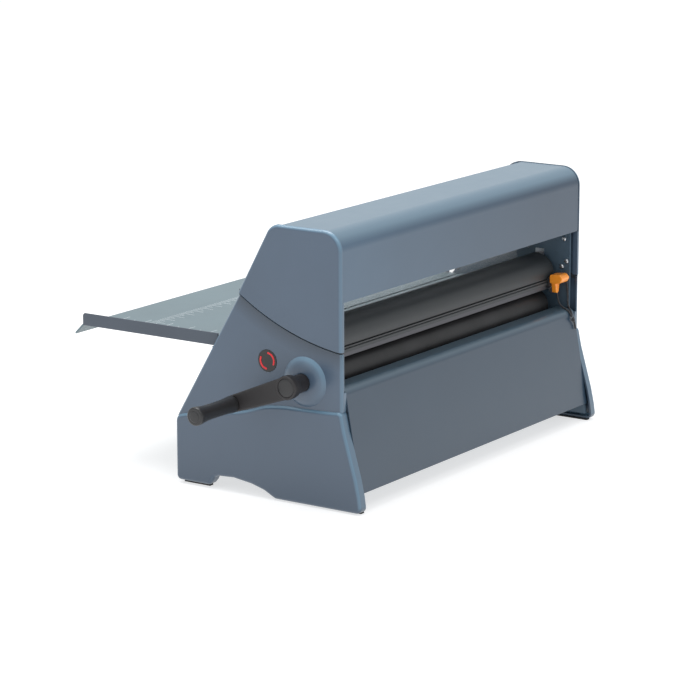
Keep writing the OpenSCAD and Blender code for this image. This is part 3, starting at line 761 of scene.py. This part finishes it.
def lower_cover(hand):
    outline = bulge_outline()
    face, held = middle_outline()
    joined = [solid(add_loft, outline, outer_rings(HALF_W)),
              solid(add_loft, face, outer_rings(MID_X), held=held),
              solid(add_lathe, boss_profile(RIM_X + 6), LOWER_AXIS)]
    inner_face = inset(face, WALL, held)
    cut = [solid(add_loft, inset(outline, WALL), [(-RIM_X + 1, 0), (-356, 0), (-358.5, 3)]),
           solid(add_loft, inner_face, [(-RIM_X + 1.5, 0), (-351.5, 0), (-354.0, 3)], held=held),
           solid(add_box, (-FRONT_RIM_X, -170, 178), (-RIM_X + 2, -117, 250))]
    if hand == "left":
        cut.append(solid(add_lathe, [(13.5, -RIM_X), (13.5, -380), (0, -380), (0, -RIM_X)][::-1],
                         LOWER_AXIS))
        cut.append(solid(add_lathe, [(0, -356.3), (17.4, -356.3), (17.4, -357.2), (18.4, -358),
                                     (0, -358)], BADGE_CENTRE, segments=72))
    bm = combine(joined, cut)
    if hand == "right":
        mirrored(bm)
    # The lower_plastic finish paints a shadow below the seam.
    piece(f"{hand}_lower_shell", bm, "machine", "body_plastic", [f"{hand}_cover_lower"], 24,
          finish="lower_plastic")


def seam_groove(hand):
    """Dark prism at the bottom of the groove between the two covers: painted shade in the gap."""
    low = seam_points(lower_slant_y(308) - 1.5, EDGE_Y + 1.5, gap=SEAM_GAP + 5)
    high = seam_points(lower_slant_y(308) - 1.5, EDGE_Y + 1.5, gap=-3)
    bm = bmesh.new()
    add_prism(bm, high + low[::-1], -355.6, -353.6)
    if hand == "right":
        mirrored(bm)
    piece(f"{hand}_seam_groove", bm, "machine", "body_plastic", (), 24, finish="groove_dark")


def upper_cover(hand):
    seam = seam_points(EDGE_Y, upper_slant_y(314.5))
    outline = seam + TOP_CORNERS
    held = set(range(len(seam) - 1))
    bm = bmesh.new()
    add_loft(bm, outline, outer_rings(UPPER_X, start=HOOD_X + 0.4), held)
    bm.verts.ensure_lookup_table()
    lip = [e for e in bm.edges if all(v.co.x < -(UPPER_X - 0.1) * MM for v in e.verts)
           and all(v.co.z < (seam_z(v.co.y / MM - BASE_Y) + BASE_Z + 1) * MM for v in e.verts)]
    bmesh.ops.bevel(bm, geom=lip, offset=1.3 * MM, segments=3, profile=0.5, affect="EDGES",
                    clamp_overlap=True)
    rest = [p for p in inset(outline, 4.2, held)[len(seam):] if p[0] < -40]
    add_prism(bm, strip([(-40, rest[0][1])] + rest + [(rest[-1][0], 318)], WALL),
              -HOOD_X - 0.5, -RIM_X)
    front = [(EDGE_Y, 316.5), (EDGE_Y, seam_z(EDGE_Y))]
    add_prism(bm, strip(front, 9), -HOOD_X - 0.5, -FRONT_RIM_X)
    rear = [(upper_slant_y(314.5), 314.5)] + [p for p in BACK_ARC if p[0] > -8]
    add_prism(bm, strip(rear, WALL), -HOOD_X - 0.5, -RIM_X)
    if hand == "right":
        mirrored(bm)
    piece(f"{hand}_upper_shell", bm, "machine", "body_plastic", [f"{hand}_cover_upper"], 24)


for side in ("left", "right"):
    lower_cover(side)
    upper_cover(side)
    seam_groove(side)


# ---- Hood and front cover ----

def add_hood():
    full = [(EDGE_Y, 200), (-60, 200), (upper_slant_y(300), 300)] + TOP_CORNERS
    outer = inset(full, 0.8)[3:]
    top = [p for p in outer if p[0] < -17.5]
    path = [(-17.5, top[0][1])] + top + [(top[-1][0], 317.0)]
    path += [(top[-1][0] + 7.5, 317.0)]
    bm = bmesh.new()
    add_prism(bm, strip(path, 2.8), -HOOD_X, HOOD_X)
    soften(bm, 0.7, 2, 50)
    # The hood_plastic finish paints shade towards the far end and light on the up-facing top.
    piece("hood_shell", bm, "hood", "body_plastic", ["hood"], 30, finish="hood_plastic")


def add_front_cover():
    path = [(-97, 185)] + arc((-117, 171), 14, 90, 176, 14) + [(-157.6, 22), (-147, 20)]
    bm = bmesh.new()
    add_prism(bm, strip(path, 2.5), -344.9, 344.9)
    soften(bm, 0.6, 2, 50)
    # The front_plastic finish is a darker copy of the body colour as painted shade, paler on
    # up-facing faces as painted light.
    piece("front_shell", bm, "machine", "body_plastic", ["front_cover"], 30,
          finish="front_plastic")


add_hood()
add_front_cover()


# ---- Guard ----

GUARD_IN, GUARD_OUT = 29.2, 32.7
GUARD_HALF = 333.0


def add_guard():
    path = arc(UPPER_AXIS, GUARD_OUT, 48, 192, 48)
    bm = bmesh.new()
    add_prism(bm, strip(path, GUARD_OUT - GUARD_IN), -GUARD_HALF, GUARD_HALF)
    soften(bm, 0.8, 3, 50)
    piece("guard_shell", bm, "machine", "guard_black", ["roller_guard"], 30)


add_guard()


# ---- Feed tray ----

def tray_section():
    top = [(100.5, TRAY_TOP), (TRAY_EDGE - 6, TRAY_TOP)]
    bend = [(TRAY_EDGE - 3, TRAY_TOP - 0.2), (TRAY_EDGE, TRAY_TOP - 1.2)]
    return strip(top + bend + [(TRAY_EDGE + 16.2, TRAY_TOP - 17.2)], -TRAY_T)


def add_tray():
    bm = bmesh.new()
    add_prism(bm, tray_section(), -TRAY_HALF + 0.3, TRAY_HALF - 0.3)
    soften(bm, 0.5, 2, 40)
    piece("tray_panel", bm, "tray", "tray_paint", ["feed_tray"], 30)
    bottom = TRAY_TOP - TRAY_T
    outline = [(116, bottom), (TRAY_EDGE - 1, bottom), (TRAY_EDGE - 1, bottom + 17),
               (TRAY_EDGE - 4, bottom + 20), (116, bottom + 20)]
    # The side flanges take the darker tray_edge finish: painted shade.
    for name, x in (("left", -TRAY_HALF), ("right", TRAY_HALF - 3)):
        bm = bmesh.new()
        add_prism(bm, outline, x, x + 3)
        soften(bm, 0.6, 2, 40)
        piece(f"tray_flange_{name}", bm, "tray", "tray_paint", ["feed_tray"], 30,
              finish="tray_edge")


TICK_PITCH = 6.35


def add_tray_marks():
    """Generic ruler ticks, longer every fourth one, and a ladder of short bars at one side."""
    bm = bmesh.new()
    low, high = TRAY_TOP - 0.05, TRAY_TOP + 0.12
    for side in (-1, 1):
        for i in range(49):
            x = side * (12 + i * TICK_PITCH)
            reach = 26 if i % 4 == 0 else (16 if i % 2 == 0 else 10)
            add_box(bm, (x - 0.35, 300 - reach, low), (x + 0.35, 300, high))
    for i in range(11):
        y = 132 + i * 22
        add_box(bm, (-300, y - 0.4, low), (-272 if i % 2 else -258, y + 0.4, high))
    piece("tray_ticks", bm, "tray", "tray_paint", (), finish="tick_white")


add_tray()
add_tray_marks()


# ---- Crank ----

CRANK_DROOP = math.radians(21)
CRANK_LEN = 110.0
PIN_AXIS = (LOWER_AXIS[0] + CRANK_LEN * math.cos(CRANK_DROOP),
            LOWER_AXIS[1] - CRANK_LEN * math.sin(CRANK_DROOP))
CRANK_IN = MID_X + 8 + 0.5
CRANK_OUT = CRANK_IN + 43
ARM_X0 = -CRANK_OUT + 3.5
ARM_T = 15.0
GRIP_X1 = ARM_X0 - 0.6
GRIP_X0 = GRIP_X1 - 95


def arm_outline(hub_r, pin_r):
    side = math.degrees(math.acos((hub_r - pin_r) / CRANK_LEN))
    flat = arc((0, 0), hub_r, side, 360 - side, 36) + arc((CRANK_LEN, 0), pin_r, -side, side, 24)
    cos, sin = math.cos(-CRANK_DROOP), math.sin(-CRANK_DROOP)
    return [(LOWER_AXIS[0] + y * cos - z * sin, LOWER_AXIS[1] + y * sin + z * cos)
            for y, z in flat]


def add_crank():
    outline = arm_outline(17.5, 13.5)
    rings = [(ARM_X0, 2.6), (ARM_X0 + 0.4, 1.4), (ARM_X0 + 1.2, 0.5), (ARM_X0 + 2.6, 0),
             (ARM_X0 + ARM_T - 2.6, 0), (ARM_X0 + ARM_T - 1.2, 0.5), (ARM_X0 + ARM_T - 0.4, 1.4),
             (ARM_X0 + ARM_T, 2.6)]
    bm = combine([solid(add_loft, outline, rings)],
                 [solid(add_lathe, [(0, ARM_X0 - 1), (18.3, ARM_X0 - 1), (18.3, ARM_X0 + 20),
                                    (0, ARM_X0 + 20)], LOWER_AXIS)])
    piece("crank_arm_shell", bm, "crank_drive", "crank_black", ["crank_arm"], 32)
    x = -CRANK_IN
    tip = -CRANK_OUT
    profile = [(6, x), (12.6, x), (13.6, x - 0.4), (14, x - 1.2), (14.3, x - 12), (14.9, x - 20),
               (16.4, x - 25), (17.9, x - 28), (18.4, x - 31), (18.6, tip + 3), (18.5, tip + 1.6),
               (18.0, tip + 0.6), (17.2, tip), (15.6, tip), (14.8, tip + 0.5), (14.4, tip + 1.4),
               (14.3, tip + 3), (6, tip + 3)]
    bm = bmesh.new()
    add_lathe(bm, profile, LOWER_AXIS, 96)
    piece("crank_hub_shell", bm, "crank_drive", "crank_black", ["crank_hub"], 38)
    bm = bmesh.new()
    cap = [(0, tip + 3), (14.2, tip + 3), (14.2, tip + 1.3), (13.6, tip + 0.8), (11, tip + 0.5),
           (6, tip + 0.2), (0, tip + 0.1)]
    add_lathe(bm, cap, LOWER_AXIS, 96)
    piece("crank_cap_shell", bm, "crank_drive", "grip_black", ["crank_cap"], 38)


def add_grip():
    waist = 12.1
    edge = [(12.5, GRIP_X1), (13.2, GRIP_X1 - 0.5), (13.5, GRIP_X1 - 1.6), (13.4, GRIP_X1 - 5)]
    body = smooth([(13.4, GRIP_X1 - 5), (12.6, GRIP_X1 - 12), (waist, GRIP_X1 - 22),
                   (waist - 0.3, GRIP_X1 - 45), (waist, GRIP_X1 - 66), (13.2, GRIP_X0 + 16),
                   (14.3, GRIP_X0 + 8), (14.5, GRIP_X0 + 4), (14.0, GRIP_X0 + 1.4),
                   (12.6, GRIP_X0 + 0.2), (10.5, GRIP_X0)], 5)
    profile = [(5.05, GRIP_X1)] + edge + body[1:] + [(9.1, GRIP_X0), (9.1, GRIP_X0 + 6.4),
                                                     (5.05, GRIP_X0 + 6.4)]
    bm = bmesh.new()
    add_lathe(bm, profile, PIN_AXIS, 96)
    piece("grip_shell", bm, "handle", "grip_black", ["crank_grip"], 40)


add_crank()
add_grip()


# ---- Cutter knob ----

CUTTER_X = 319.0


def add_knob():
    y = UPPER_AXIS[0] - GUARD_OUT - 5.9
    head = rounded([(y, 231.5), (y, 245.5), (y - 20, 247.5), (y - 26, 241), (y - 22, 233),
                    (y - 10, 230.5)], {1: 3, 2: 7, 3: 5, 4: 6}, 5)
    head_bm = bmesh.new()
    add_prism(head_bm, head[::-1], CUTTER_X - 12, CUTTER_X + 13)
    soften(head_bm, 2.2, 4, 50)
    head_obj = to_object("operand", head_bm)
    stem_bm = bmesh.new()
    corners = [(-7, 234), (-2.5, 214.5), (2, 212.5), (6, 216), (9, 234)]
    rows = []
    for depth in (0, 9):
        rows.append([stem_bm.verts.new(spot(CUTTER_X + x, y - depth, z))
                     for x, z in corners])
    for i in range(5):
        j = (i + 1) % 5
        stem_bm.faces.new((rows[0][i], rows[0][j], rows[1][j], rows[1][i]))
    stem_bm.faces.new(rows[0])
    stem_bm.faces.new(rows[1])
    soften(stem_bm, 1.4, 3, 30)
    stem_obj = to_object("operand", stem_bm)
    bm = combine([head_obj, stem_obj])
    piece("cutter_knob_shell", bm, "cutter", "cutter_orange", ["cutter_knob"], 40)


add_knob()


# ---- Floor, lights and world ----

def add_floor():
    bm = bmesh.new()
    bmesh.ops.create_grid(bm, x_segments=1, y_segments=1, size=30)
    floor = to_object("floor", bm)
    s = Shader("floor")
    s.link(s.ramp(s.noise(0.6, 2), [(0.3, (0.50, 0.50, 0.50)), (0.7, (0.53, 0.53, 0.53))]),
           s.surface.inputs["Base Color"])
    s.set(Roughness=0.9, Specular_IOR_Level=0.1, Emission_Color=(1, 1, 1, 1),
          Emission_Strength=0.64)
    floor.data.materials.append(s.material)


def add_light(name, place, target, size, power, colour=(1, 1, 1)):
    data = bpy.data.lights.new(name, "AREA")
    data.shape = "RECTANGLE"
    data.size, data.size_y = size
    data.energy = power
    data.color = colour
    light = bpy.data.objects.new(name, data)
    aim = Vector(target) - Vector(place)
    turn = aim.to_track_quat("-Z", "Y").to_matrix().to_4x4()
    light.matrix_world = Matrix.Translation(place) @ turn
    bpy.context.collection.objects.link(light)


def add_world():
    world = bpy.data.worlds.new("studio")
    bpy.context.scene.world = world
    world.use_nodes = True
    background = world.node_tree.nodes["Background"]
    background.inputs["Color"].default_value = (0.96, 0.98, 1.0, 1)
    background.inputs["Strength"].default_value = 0.75


add_floor()
add_world()
add_light("key", (-1.4, -2.0, 3.0), (0, 0, 0.2), (1.4, 1.0), 14)
add_light("top", (0.2, 0.7, 3.2), (0, 0, 0.2), (3.0, 2.0), 85)
add_light("rim", (-3.2, 1.2, 1.6), (-0.2, 0, 0.25), (1.2, 1.8), 5, (0.85, 0.94, 1.0))
bpy.context.scene.view_settings.view_transform = "Standard"
